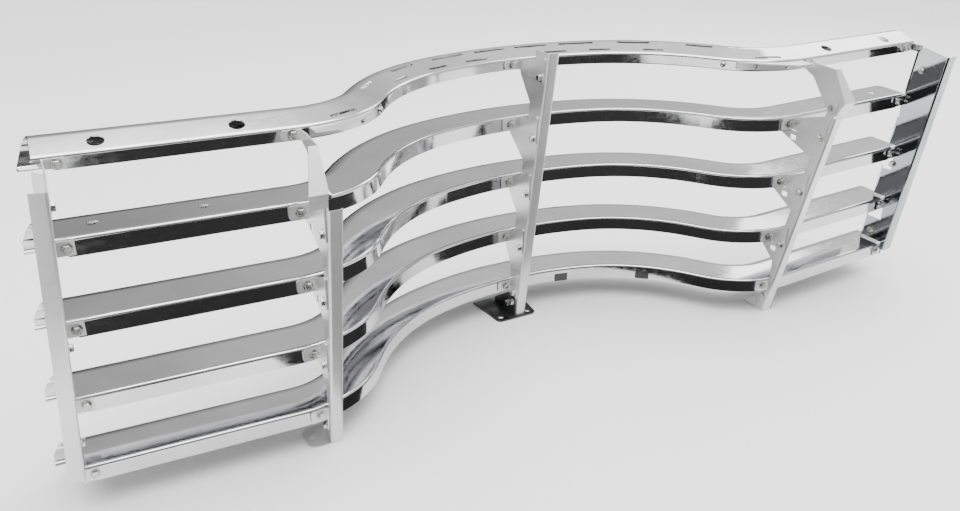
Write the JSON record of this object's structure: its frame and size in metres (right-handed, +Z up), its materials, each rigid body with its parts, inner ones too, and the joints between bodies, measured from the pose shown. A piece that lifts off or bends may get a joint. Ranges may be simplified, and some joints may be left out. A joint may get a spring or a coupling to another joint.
{
  "type": "front grille",
  "caption": "Wide S-curved vehicle front grille: stacked inverted-channel bars on leaning posts and splayed end plates, bolted together, standing on three feet",
  "frame": {"origin": "centre of the bounding box's bottom, in the plane the three feet stand on", "axes": "+X to the vehicle's left, +Y to its rear, +Z up; the bars' bright noses look along -Y"},
  "size_m": [1.6092, 0.4194, 0.516],
  "materials": {
    "bar_chrome": "polished",
    "frame_chrome": "satin",
    "zinc": "satin",
    "black_paint": "semi-gloss"
  },
  "bodies": {
    "root": {"bottom_bar": "bar_chrome", "centre_bracket_bottom_bar": "frame_chrome", "centre_bracket_fourth_bar": "frame_chrome", "centre_bracket_second_bar": "frame_chrome", "centre_bracket_third_bar": "frame_chrome", "centre_bracket_top_bar": "frame_chrome", "centre_ear_bolts": "zinc", "centre_ear_nuts": "zinc", "centre_foot": "black_paint", "centre_leg_bolts": "zinc", "centre_leg_nuts": "zinc", "centre_post": "frame_chrome", "foot_bolts": "zinc", "foot_nuts": "zinc", "fourth_bar": "bar_chrome", "left_bracket_bottom_bar": "frame_chrome", "left_bracket_fourth_bar": "frame_chrome", "left_bracket_second_bar": "frame_chrome", "left_bracket_third_bar": "frame_chrome", "left_corner_plate": "frame_chrome", "left_corner_rivets": "zinc", "left_ear_bolts": "zinc", "left_ear_nuts": "zinc", "left_end_plate": "frame_chrome", "left_leg_bolts": "zinc", "left_leg_nuts": "zinc", "left_mounting_bolts": "zinc", "left_mounting_nuts": "zinc", "left_post": "frame_chrome", "left_strut": "frame_chrome", "left_strut_bolts": "zinc", "left_strut_nuts": "zinc", "left_tab_bolts": "zinc", "left_tab_nuts": "zinc", "lower_clips": "black_paint", "right_bracket_bottom_bar": "frame_chrome", "right_bracket_fourth_bar": "frame_chrome", "right_bracket_second_bar": "frame_chrome", "right_bracket_third_bar": "frame_chrome", "right_corner_plate": "frame_chrome", "right_corner_rivets": "zinc", "right_ear_bolts": "zinc", "right_ear_nuts": "zinc", "right_end_plate": "frame_chrome", "right_leg_bolts": "zinc", "right_leg_nuts": "zinc", "right_mounting_bolts": "zinc", "right_mounting_nuts": "zinc", "right_post": "frame_chrome", "right_strut": "frame_chrome", "right_strut_bolts": "zinc", "right_strut_nuts": "zinc", "right_tab_bolts": "zinc", "right_tab_nuts": "zinc", "second_bar": "bar_chrome", "third_bar": "bar_chrome", "top_bar": "bar_chrome"}
  },
  "joints": []
}
